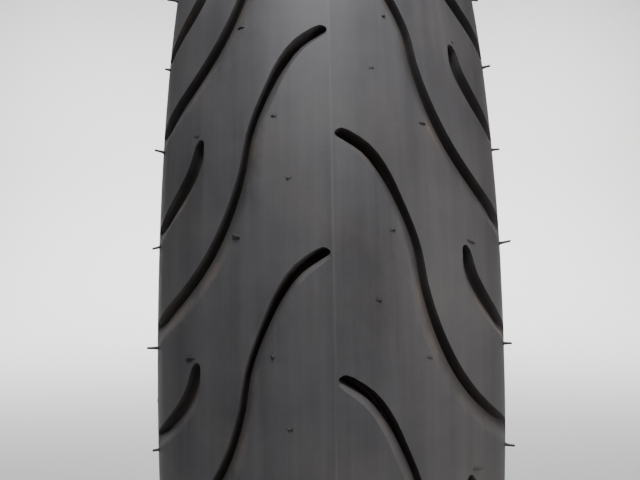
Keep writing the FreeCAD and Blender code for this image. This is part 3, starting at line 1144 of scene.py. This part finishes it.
@dataclass(frozen=True)
class Hair:
    """One kind of moulding hair on the right half of a pitch."""

    along: float
    out: float
    length: float
    radius: float
    lean: float
    bend: float
    seed: int
    spread: float = 14.0
    sides: int = 6
    parts: int = 5
    root: float = 0.35 * MM
    flare: float = 0.9
    flare_fall: float = 8.0
    taper: float = 0.25
    growth: Pair = (0.7, 1.15)

    def model(self) -> Piece:
        """Build the hair standing at the origin, bending towards +Y."""
        sections = []
        y, z, lean = 0.0, -self.root, math.radians(self.lean)
        for part in range(self.parts + 1):
            share = part / self.parts
            flare = 1.0 + self.flare * math.exp(-self.flare_fall * share)
            thick = self.radius * flare * (1.0 - self.taper * share)
            across = Vector((1.0, 0.0, 0.0)) * thick
            square = Vector((0.0, math.cos(lean), -math.sin(lean))) * thick
            middle = Vector((0.0, y, z))
            sections.append(np.array([
                middle + across * math.cos(math.tau * k / self.sides)
                + square * math.sin(math.tau * k / self.sides) for k in range(self.sides)]))
            step = self.length / self.parts
            lean += math.radians(self.bend) / self.parts
            y += step * math.sin(lean)
            z += step * math.cos(lean)
        return sweep("hair", sections)

    def places(self, side: Side) -> list[Matrix]:
        """Return where each hair of this kind stands round one side.

        Args:
            side: the side of the tyre.

        Returns:
            One matrix for each pitch, with a little chance in each.
        """
        chance = random.Random(self.seed * 2 + side.value)
        shift = CONTOUR.pitch / 2 if side is Side.RIGHT else 0.0
        places = []
        for pitch in range(CONTOUR.pitch_count):
            along = self.along + shift + pitch * CONTOUR.pitch
            foot = np.array([[along, self.out * side.value, 0.0]])
            above = foot + np.array([[0.0, 0.0, MM]])
            beyond = foot + np.array([[0.0, 0.05 * MM * side.value, 0.0]])
            low, high, far = (Vector(CONTOUR.place(row)[0]) for row in (foot, above, beyond))
            up, ahead = (high - low).normalized(), (far - low).normalized()
            aside = ahead.cross(up).normalized()
            ahead = up.cross(aside)
            turn = Matrix((aside, ahead, up)).transposed().to_4x4()
            first, second = (math.radians(chance.gauss(0.0, self.spread)) for _ in range(2))
            sway = Matrix.Rotation(first, 4, "Z") @ Matrix.Rotation(second, 4, "X")
            grow = Matrix.Diagonal((1.0, 1.0, chance.uniform(*self.growth), 1.0))
            places.append(Matrix.Translation(low) @ turn @ sway @ grow)
        return places


@dataclass(frozen=True)
class MouldingHairs:
    """The hairs that the mould's vents leave on one side of the tyre."""

    side: Side
    shoulder: tuple[Hair, ...] = (
        Hair(26.0 * MM, 57.0 * MM, 3.4 * MM, 0.44 * MM, -4.0, 18.0, 11),
        Hair(57.0 * MM, 57.0 * MM, 2.5 * MM, 0.42 * MM, 6.0, 10.0, 12),
    )
    tread: tuple[Hair, ...] = (
        Hair(58.0 * MM, 24.0 * MM, 3.0 * MM, 0.30 * MM, 25.0, 135.0, 13),
        Hair(27.3 * MM, 38.5 * MM, 2.9 * MM, 0.32 * MM, 50.0, 55.0, 14),
        Hair(26.0 * MM, 15.0 * MM, 0.8 * MM, 0.50 * MM, 30.0, 30.0, 15),
        Hair(43.5 * MM, 11.0 * MM, 0.8 * MM, 0.46 * MM, 30.0, 30.0, 16),
    )

    def crop(self, kinds: Sequence[Hair], name: str) -> Piece:
        """Build every hair of some kinds as one piece.

        Args:
            kinds: the kinds of hair.
            name: the piece's name.

        Returns:
            The joined piece.
        """
        hairs = []
        for kind in kinds:
            first = kind.model()
            hairs += [Bench.copy(first, place) for place in kind.places(self.side)]
            Bench.remove(first)
        joined = Bench.join(hairs, name)
        Bench.close_up(joined, VERY_NEAR)
        Bench.smooth(joined, 60.0)
        return joined

    def build(self) -> list[Piece]:
        """Build the shoulder hairs, then the tread hairs."""
        return [self.crop(self.shoulder, f"{self.side.word}_shoulder_hairs"),
                self.crop(self.tread, f"{self.side.word}_tread_hairs")]


# ------------------------------------------------------------------ finishes


def grey(level: float) -> Triple:
    """Return a grey of one level."""
    return (level, level, level)


@dataclass(frozen=True)
class Rubber:
    """A black rubber finish with dust, streaks and a fine grain, and on the tread painted
    shade on the groove slopes and painted light on the groove floors.
    """

    name: str
    colour: Triple
    pale: Triple
    roughness: float = 0.62
    roughness_spread: float = 0.12
    grain: float = 0.04 * MM
    grain_scale: float = 900.0
    streaks: float = 0.5
    residue: Triple | None = None
    # Painted shade: a darker tone laid on the shallow groove slopes, by depth.
    slope: Triple = (0.034, 0.030, 0.029)
    # Painted light: a paler tone laid on the deep groove floors, lifting them out of their
    # shade.
    floor: Triple = (0.085, 0.070, 0.062)
    specular: float = 0.30
    seam: Triple | None = None
    seam_half: float = 0.45 * MM
    full_depth: float = 6 * MM

    def material(self) -> Material:
        """Build the finish's material.

        Returns:
            A new material of shader nodes.
        """
        shop = Nodes(self.name)
        cloud = shop.noise(26.0, 5.0, 0.62)
        streak = shop.noise(1.0, 5.0, 0.62, stretch=(9.0, 190.0, 9.0))
        speck = shop.noise(self.grain_scale, 2.0, 0.7)
        mixed = shop.blend(cloud, streak, self.streaks)
        tone = shop.ramp(mixed, ((0.34, self.colour), (0.66, self.pale)))
        if self.residue:
            patch = shop.ramp(shop.noise(48.0, 6.0, 0.68),
                              ((0.45, grey(0.0)), (0.68, grey(1.0))))
            depth = shop.scaled(shop.attribute("groove_depth"), 1 / self.full_depth)
            band = shop.ramp(depth, ((0.0, grey(0.10)), (0.10, grey(0.75)),
                                     (0.45, grey(0.45)), (1.0, grey(0.15))))
            tone = shop.mix(shop.multiply(band, patch), tone, self.residue)
            # Painted shade: the shallow groove slopes are darkened by their depth.
            shade = shop.ramp(depth, ((0.04, grey(0.0)), (0.24, grey(0.75))))
            tone = shop.mix(shade, tone, self.slope)
            # Painted light: the deep groove floors are lightened by depth, against the shade
            # there.
            bottom = shop.ramp(depth, ((0.36, grey(0.0)), (0.60, grey(1.0))))
            tone = shop.mix(bottom, tone, self.floor)
        if self.seam:
            # A paler, patchy line along the crown's parting line.
            seam_patches = shop.ramp(streak, ((0.35, grey(0.0)), (0.7, grey(0.4))))
            near = shop.near_middle(self.seam_half)
            tone = shop.mix(shop.multiply(near, seam_patches), tone, self.seam)
        shop.link(tone, "Base Color")
        low = self.roughness - self.roughness_spread / 2
        high = self.roughness + self.roughness_spread / 2
        shop.link(shop.ranged(mixed, low, high), "Roughness")
        shop.bump(shop.blend(speck, cloud, 0.35), self.grain)
        shop.shader.inputs["Specular IOR Level"].default_value = self.specular
        return shop.material


class Nodes:
    """A material under construction and the nodes it is made from."""

    def __init__(self, name: str) -> None:
        """Start an empty material.

        Args:
            name: the material's name.
        """
        self.material = bpy.data.materials.new(name)
        self.material.use_nodes = True
        self.tree = self.material.node_tree
        self.shader = self.tree.nodes["Principled BSDF"]
        self.coordinates = self.tree.nodes.new("ShaderNodeTexCoord")

    def link(self, output: Socket, name: str) -> None:
        """Join a socket to one of the shader's inputs."""
        self.tree.links.new(output, self.shader.inputs[name])

    def mapped(self, name: str, value: Triple) -> Socket:
        """Return the object coordinates, scaled or turned.

        Args:
            name: Scale or Rotation.
            value: its value along each axis.

        Returns:
            The mapped coordinates.
        """
        mapping = self.tree.nodes.new("ShaderNodeMapping")
        mapping.inputs[name].default_value = value
        self.tree.links.new(self.coordinates.outputs["Object"], mapping.inputs["Vector"])
        return mapping.outputs["Vector"]

    def noise(self, scale: float, detail: float, rough: float,
              stretch: Triple = (1.0, 1.0, 1.0)) -> Socket:
        """Add a noise on object coordinates.

        Args:
            scale: how many features there are per metre.
            detail: how many finer layers are added.
            rough: how strong the finer layers are.
            stretch: the scale along each axis.

        Returns:
            The noise's value.
        """
        noise = self.tree.nodes.new("ShaderNodeTexNoise")
        noise.inputs["Scale"].default_value = scale
        noise.inputs["Detail"].default_value = detail
        noise.inputs["Roughness"].default_value = rough
        self.tree.links.new(self.mapped("Scale", stretch), noise.inputs["Vector"])
        return noise.outputs["Fac"]

    def wave(self, scale: float, slant: float) -> Socket:
        """Add parallel bands that cross the axle's direction at a slant.

        Args:
            scale: how close the bands are.
            slant: how far they are turned, in degrees.

        Returns:
            The bands' value.
        """
        turned = self.mapped("Rotation", (math.radians(slant), 0.0, 0.0))
        wave = self.tree.nodes.new("ShaderNodeTexWave")
        wave.bands_direction = "Y"
        wave.inputs["Scale"].default_value = scale
        self.tree.links.new(turned, wave.inputs["Vector"])
        return wave.outputs["Fac"]

    def near_middle(self, half: float) -> Socket:
        """Return 1 near the wheel's middle plane, falling to 0 at a half width."""
        split = self.tree.nodes.new("ShaderNodeSeparateXYZ")
        self.tree.links.new(self.coordinates.outputs["Object"], split.inputs["Vector"])
        away = self.scaled(self.calculate("ABSOLUTE", split.outputs["Y"], 0.0), -1 / half)
        near = self.calculate("ADD", away, 1.0)
        return self.calculate("MAXIMUM", near, 0.0)

    def attribute(self, name: str) -> Socket:
        """Read a number that the mesh carries."""
        node = self.tree.nodes.new("ShaderNodeAttribute")
        node.attribute_name = name
        return node.outputs["Fac"]

    def calculate(self, kind: str, first: Socket, second: float | Socket) -> Socket:
        """Add a sum, with the second value a number or another socket.

        Args:
            kind: Blender's name for the operation.
            first: the first value.
            second: the second value.

        Returns:
            The result.
        """
        node = self.tree.nodes.new("ShaderNodeMath")
        node.operation = kind
        self.tree.links.new(first, node.inputs[0])
        if isinstance(second, float):
            node.inputs[1].default_value = second
        else:
            self.tree.links.new(second, node.inputs[1])
        return node.outputs[0]

    def scaled(self, value: Socket, factor: float) -> Socket:
        """Return the value times a number."""
        return self.calculate("MULTIPLY", value, float(factor))

    def multiply(self, first: Socket, second: Socket) -> Socket:
        """Return the product of two values."""
        return self.calculate("MULTIPLY", first, second)

    def blend(self, first: Socket, second: Socket, share: float) -> Socket:
        """Return a mean of two values, with the second's share given."""
        return self.calculate("ADD", self.scaled(first, 1.0 - share),
                              self.scaled(second, share))

    def ranged(self, value: Socket, low: float, high: float) -> Socket:
        """Return a noise value spread over a range."""
        node = self.tree.nodes.new("ShaderNodeMapRange")
        node.inputs["From Min"].default_value = 0.3
        node.inputs["From Max"].default_value = 0.7
        node.inputs["To Min"].default_value = low
        node.inputs["To Max"].default_value = high
        self.tree.links.new(value, node.inputs["Value"])
        return node.outputs["Result"]

    def ramp(self, value: Socket, stops: Sequence[tuple[float, Triple]]) -> Socket:
        """Turn a value into a colour.

        Args:
            value: the value to read.
            stops: (place, colour) of each stop.

        Returns:
            The colour.
        """
        node = self.tree.nodes.new("ShaderNodeValToRGB")
        stretch = node.color_ramp.elements
        while len(stretch) < len(stops):
            stretch.new(1.0)
        for element, (place, colour) in zip(stretch, stops):
            element.position = place
            element.color = (*colour, 1.0)
        self.tree.links.new(value, node.inputs["Fac"])
        return node.outputs["Color"]

    def mix(self, share: Socket, base: Socket, colour: Triple) -> Socket:
        """Lay one colour over another.

        Args:
            share: how much of the top colour shows.
            base: the colour underneath.
            colour: the top colour.

        Returns:
            The mixed colour.
        """
        node = self.tree.nodes.new("ShaderNodeMix")
        node.data_type = "RGBA"
        self.tree.links.new(share, node.inputs["Factor"])
        self.tree.links.new(base, node.inputs["A"])
        node.inputs["B"].default_value = (*colour, 1.0)
        return node.outputs["Result"]

    def bump(self, height: Socket, depth: float) -> None:
        """Roughen the surface by a height in metres."""
        node = self.tree.nodes.new("ShaderNodeBump")
        node.inputs["Distance"].default_value = depth
        self.tree.links.new(height, node.inputs["Height"])
        self.link(node.outputs["Normal"], "Normal")


@dataclass(frozen=True)
class CordSheet:
    """Parallel cords in a thin skin of rubber."""

    name: str
    slant: float
    cord: Triple = (0.30, 0.235, 0.155)
    skin: Triple = (0.07, 0.062, 0.055)
    cords_per_metre: float = 900.0
    depth: float = 0.15 * MM

    def material(self) -> Material:
        """Build the finish's material.

        Returns:
            A new material of shader nodes.
        """
        shop = Nodes(self.name)
        cords = shop.wave(self.cords_per_metre / 20, self.slant)
        cloud = shop.noise(40.0, 4.0, 0.6)
        tone = shop.mix(cords, shop.ramp(cloud, ((0.3, self.skin), (0.7, self.cord))),
                        self.cord)
        shop.link(tone, "Base Color")
        shop.link(shop.ranged(cloud, 0.7, 0.9), "Roughness")
        shop.bump(cords, self.depth)
        return shop.material


@dataclass(frozen=True)
class BronzeWire:
    """Bronze-coated steel wire, faintly drawn along its length."""

    name: str = "bead_wire"
    colour: Triple = (0.56, 0.42, 0.26)
    pale: Triple = (0.68, 0.55, 0.38)

    def material(self) -> Material:
        """Build the finish's material.

        Returns:
            A new material of shader nodes.
        """
        shop = Nodes(self.name)
        drawn = shop.noise(60.0, 3.0, 0.6, stretch=(1.0, 30.0, 1.0))
        shop.link(shop.ramp(drawn, ((0.35, self.colour), (0.65, self.pale))), "Base Color")
        shop.link(shop.ranged(drawn, 0.28, 0.42), "Roughness")
        shop.bump(drawn, 0.02 * MM)
        shop.shader.inputs["Metallic"].default_value = 1.0
        return shop.material


TREAD_RUBBER = Rubber(
    name="tread_rubber", colour=(0.041, 0.040, 0.042), pale=(0.076, 0.074, 0.076),
    roughness=0.56, roughness_spread=0.16, streaks=0.5, specular=0.24,
    residue=(0.150, 0.122, 0.096), seam=(0.16, 0.155, 0.15))
SIDEWALL_RUBBER = Rubber(
    name="sidewall_rubber", colour=(0.036, 0.036, 0.037), pale=(0.058, 0.057, 0.057),
    roughness=0.52, streaks=0.2)
HAIR_RUBBER = Rubber(
    name="hair_rubber", colour=(0.022, 0.021, 0.021), pale=(0.036, 0.035, 0.034),
    streaks=0.0)
INNER_RUBBER = Rubber(
    name="inner_rubber", colour=(0.034, 0.034, 0.036), pale=(0.052, 0.052, 0.054),
    roughness=0.72, streaks=0.0)
LINER_RUBBER = Rubber(
    name="liner_rubber", colour=(0.044, 0.044, 0.046), pale=(0.074, 0.073, 0.072),
    roughness=0.48, streaks=0.1)
BEAD_RUBBER = Rubber(
    name="bead_rubber", colour=(0.030, 0.030, 0.031), pale=(0.048, 0.047, 0.047),
    roughness=0.45, streaks=0.0)
PLY_CORD = CordSheet(name="ply_cord", slant=30.0)
BREAKER_CORD = CordSheet(name="breaker_cord", slant=-24.0, cords_per_metre=1100.0)


# -------------------------------------------------------------------- studio


@dataclass(frozen=True)
class Camera:
    """The camera, level and just above the axle, close to the tread."""

    distance: float = 446.1 * MM
    sideways: float = -5.3 * MM
    elevation: float = math.radians(5.95)
    yaw: float = math.radians(0.76)
    roll: float = math.radians(-0.62)
    lens: float = 34.71
    sensor: float = 36.0
    clip: Pair = (0.01, 50.0)

    def place(self) -> None:
        """Add the camera and make it the scene's own."""
        camera = bpy.data.objects.new("camera", bpy.data.cameras.new("camera"))
        camera.data.lens = self.lens
        camera.data.sensor_width = self.sensor
        camera.data.clip_start, camera.data.clip_end = self.clip
        bpy.context.collection.objects.link(camera)
        away = Vector((-math.cos(self.yaw), math.sin(self.yaw), 0.0))
        right = Vector((math.sin(self.yaw), math.cos(self.yaw), 0.0))
        up = right.cross(away)
        turn = Matrix((right, up, -away)).transposed().to_4x4()
        spot = Vector((self.distance * math.cos(self.elevation), self.sideways,
                       self.distance * math.sin(self.elevation)))
        roll = Matrix.Rotation(self.roll, 4, "Z")
        camera.matrix_world = Matrix.Translation(spot) @ turn @ roll
        bpy.context.scene.camera = camera


@dataclass(frozen=True)
class Lamp:
    """One soft square lamp."""

    name: str
    spot: Triple
    aim: Triple
    size: float
    power: float
    colour: Triple = (1.0, 1.0, 1.0)
    spread: float = math.radians(120.0)

    def place(self) -> None:
        """Add the lamp, turned towards its aim."""
        data = bpy.data.lights.new(self.name, "AREA")
        data.size = self.size
        data.energy = self.power
        data.color = self.colour
        data.spread = self.spread
        lamp = bpy.data.objects.new(self.name, data)
        lamp.location = self.spot
        facing = Vector(self.aim) - Vector(self.spot)
        lamp.rotation_euler = facing.to_track_quat("-Z", "Y").to_euler()
        bpy.context.collection.objects.link(lamp)


@dataclass(frozen=True)
class Studio:
    """A pale floor that curves up into a backdrop, and soft light."""

    floor: float = 4.0
    drop: float = -298.0 * MM
    back: float = -1.6
    bend: float = 0.7
    bend_steps: int = 12
    height: float = 3.0
    paper: Triple = (0.78, 0.78, 0.775)
    sky: Triple = (0.95, 0.97, 1.0)
    sky_power: float = 0.07
    lamps: tuple[Lamp, ...] = (
        Lamp("overhead", (0.76, -0.10, 1.20), (0.27, 0.0, 0.12), 0.7, 5.4,
             (0.95, 0.965, 1.0), math.radians(70.0)),
        Lamp("right", (1.00, 1.35, 0.15), (0.27, 0.03, -0.04), 0.7, 2.0,
             (1.0, 0.94, 0.91), math.radians(60.0)),
        *(Lamp(f"backdrop_{side.word}", (-0.6, 1.2 * side.value, 1.5),
               (-2.2, 0.8 * side.value, -0.15), 1.4, 39.5, (1.0, 1.0, 0.995),
               math.radians(90.0)) for side in Side),
    )

    def backdrop(self) -> Piece:
        """Build the floor and the sheet that rises behind the tyre."""
        Bench.clear()
        bpy.ops.mesh.primitive_plane_add(size=1.0, location=(0, 0, 0))
        sheet = bpy.context.active_object
        sheet.name = "floor"
        corners = np.array([(x, y, self.drop) for y in (-self.floor, self.floor)
                            for x in (self.back, self.floor)])
        Bench.set_points(sheet, corners)

        def rise() -> None:
            """Extrude the far edge round a bend and up."""
            bpy.ops.mesh.select_all(action="DESELECT")
            cage = bmesh.from_edit_mesh(sheet.data)
            for vertex in cage.verts:
                vertex.select = vertex.co.x < self.back + MM
            cage.select_flush(True)
            bmesh.update_edit_mesh(sheet.data)
            for step in range(self.bend_steps):
                first, last = (math.pi / 2 * k / self.bend_steps
                               for k in (step, step + 1))
                move = (self.bend * (math.sin(first) - math.sin(last)), 0.0,
                        self.bend * (math.cos(first) - math.cos(last)))
                bpy.ops.mesh.extrude_region_move(TRANSFORM_OT_translate={"value": move})
            bpy.ops.mesh.extrude_region_move(
                TRANSFORM_OT_translate={"value": (0.0, 0.0, self.height)})

        Bench.edit(sheet, rise)
        Bench.smooth(sheet, 60.0)
        return sheet

    def paper_finish(self) -> Material:
        """Return the backdrop's plain pale paper."""
        shop = Nodes("backdrop_paper")
        shop.shader.inputs["Base Color"].default_value = (*self.paper, 1.0)
        shop.shader.inputs["Roughness"].default_value = 0.9
        return shop.material

    def set_up(self) -> None:
        """Build the backdrop, hang the lamps and light the room."""
        sheet = self.backdrop()
        sheet.data.materials.append(self.paper_finish())
        for lamp in self.lamps:
            lamp.place()
        world = bpy.data.worlds.new("room")
        bpy.context.scene.world = world
        world.use_nodes = True
        light = world.node_tree.nodes["Background"]
        light.inputs["Color"].default_value = (*self.sky, 1.0)
        light.inputs["Strength"].default_value = self.sky_power


# ---------------------------------------------------------------------- tyre


@dataclass(frozen=True)
class Tyre:
    """The whole tyre: new pieces outside, dressed CAD layers inside."""

    tread: Tread = Tread()
    liner: Liner = Liner()

    def settle(self, piece: Piece, material: Material, slot: str, *nodes: str) -> None:
        """Dress a finished piece and tie it to the frame.

        Args:
            piece: the finished piece.
            material: its material.
            slot: the name of a material slot in the record; not used.
            nodes: the CAD nodes that it stands for.
        """
        piece.data.materials.clear()
        piece.data.materials.append(material)
        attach(piece, BODY)
        if nodes:
            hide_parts(*nodes)
        piece.data.calc_loop_triangles()
        log.info("%s: %d triangles, stands for %s", piece.name,
                 len(piece.data.loop_triangles), ", ".join(nodes) or "nothing")

    def build_tread(self) -> None:
        """Build the tread cap."""
        self.settle(self.tread.build(), TREAD_RUBBER.material(), "tread_rubber", "tread_cap")

    def build_sides(self) -> None:
        """Build both sidewalls, both chafers and all the moulding hairs."""
        wall_rubber, bead_rubber = SIDEWALL_RUBBER.material(), BEAD_RUBBER.material()
        hair_rubber = HAIR_RUBBER.material()
        for side in Side:
            wall, *raised = Sidewall(side).build()
            self.settle(wall, wall_rubber, "sidewall_rubber", f"sidewall_{side.word}")
            for piece in raised:
                self.settle(piece, wall_rubber, "sidewall_rubber")
            self.settle(Chafer(side).build(), bead_rubber, "bead_rubber",
                        f"chafer_{side.word}")
            for piece, node in zip(MouldingHairs(side).build(),
                                   ("shoulder_hairs", "tread_hairs")):
                self.settle(piece, hair_rubber, "hair_rubber", f"{node}_{side.word}")

    def build_inside(self) -> None:
        """Build the liner and its vent lines."""
        rubber = LINER_RUBBER.material()
        self.settle(self.liner.build(), rubber, "liner_rubber", "inner_liner")
        self.settle(self.liner.vent_lines(), rubber, "liner_rubber")

    def dress_layers(self) -> None:
        """Give the CAD layers that stay their finishes."""
        rubber, wire = INNER_RUBBER.material(), BronzeWire().material()
        ply, breaker = PLY_CORD.material(), BREAKER_CORD.material()
        finishes = {"tread_base": rubber, "breaker_inner": breaker,
                    "breaker_outer": breaker, "carcass_ply_inner": ply,
                    "carcass_ply_outer": ply}
        for side in Side:
            finishes |= {f"bead_filler_{side.word}": rubber,
                         f"bead_coat_{side.word}": rubber,
                         f"bead_wires_{side.word}": wire}
        for node, material in finishes.items():
            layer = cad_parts[node]
            layer.data.materials.clear()
            layer.data.materials.append(material)
            log.info("%s: dressed in %s", node, material.name)

    def build(self) -> None:
        """Build everything in order."""
        self.build_tread()
        self.build_sides()
        self.build_inside()
        self.dress_layers()


def main() -> None:
    """Build, dress and stage the tyre."""
    logging.basicConfig(level=logging.INFO, format="%(name)s: %(message)s")
    Tyre().build()
    Camera().place()
    Studio().set_up()


if __name__ == "__main__":
    main()
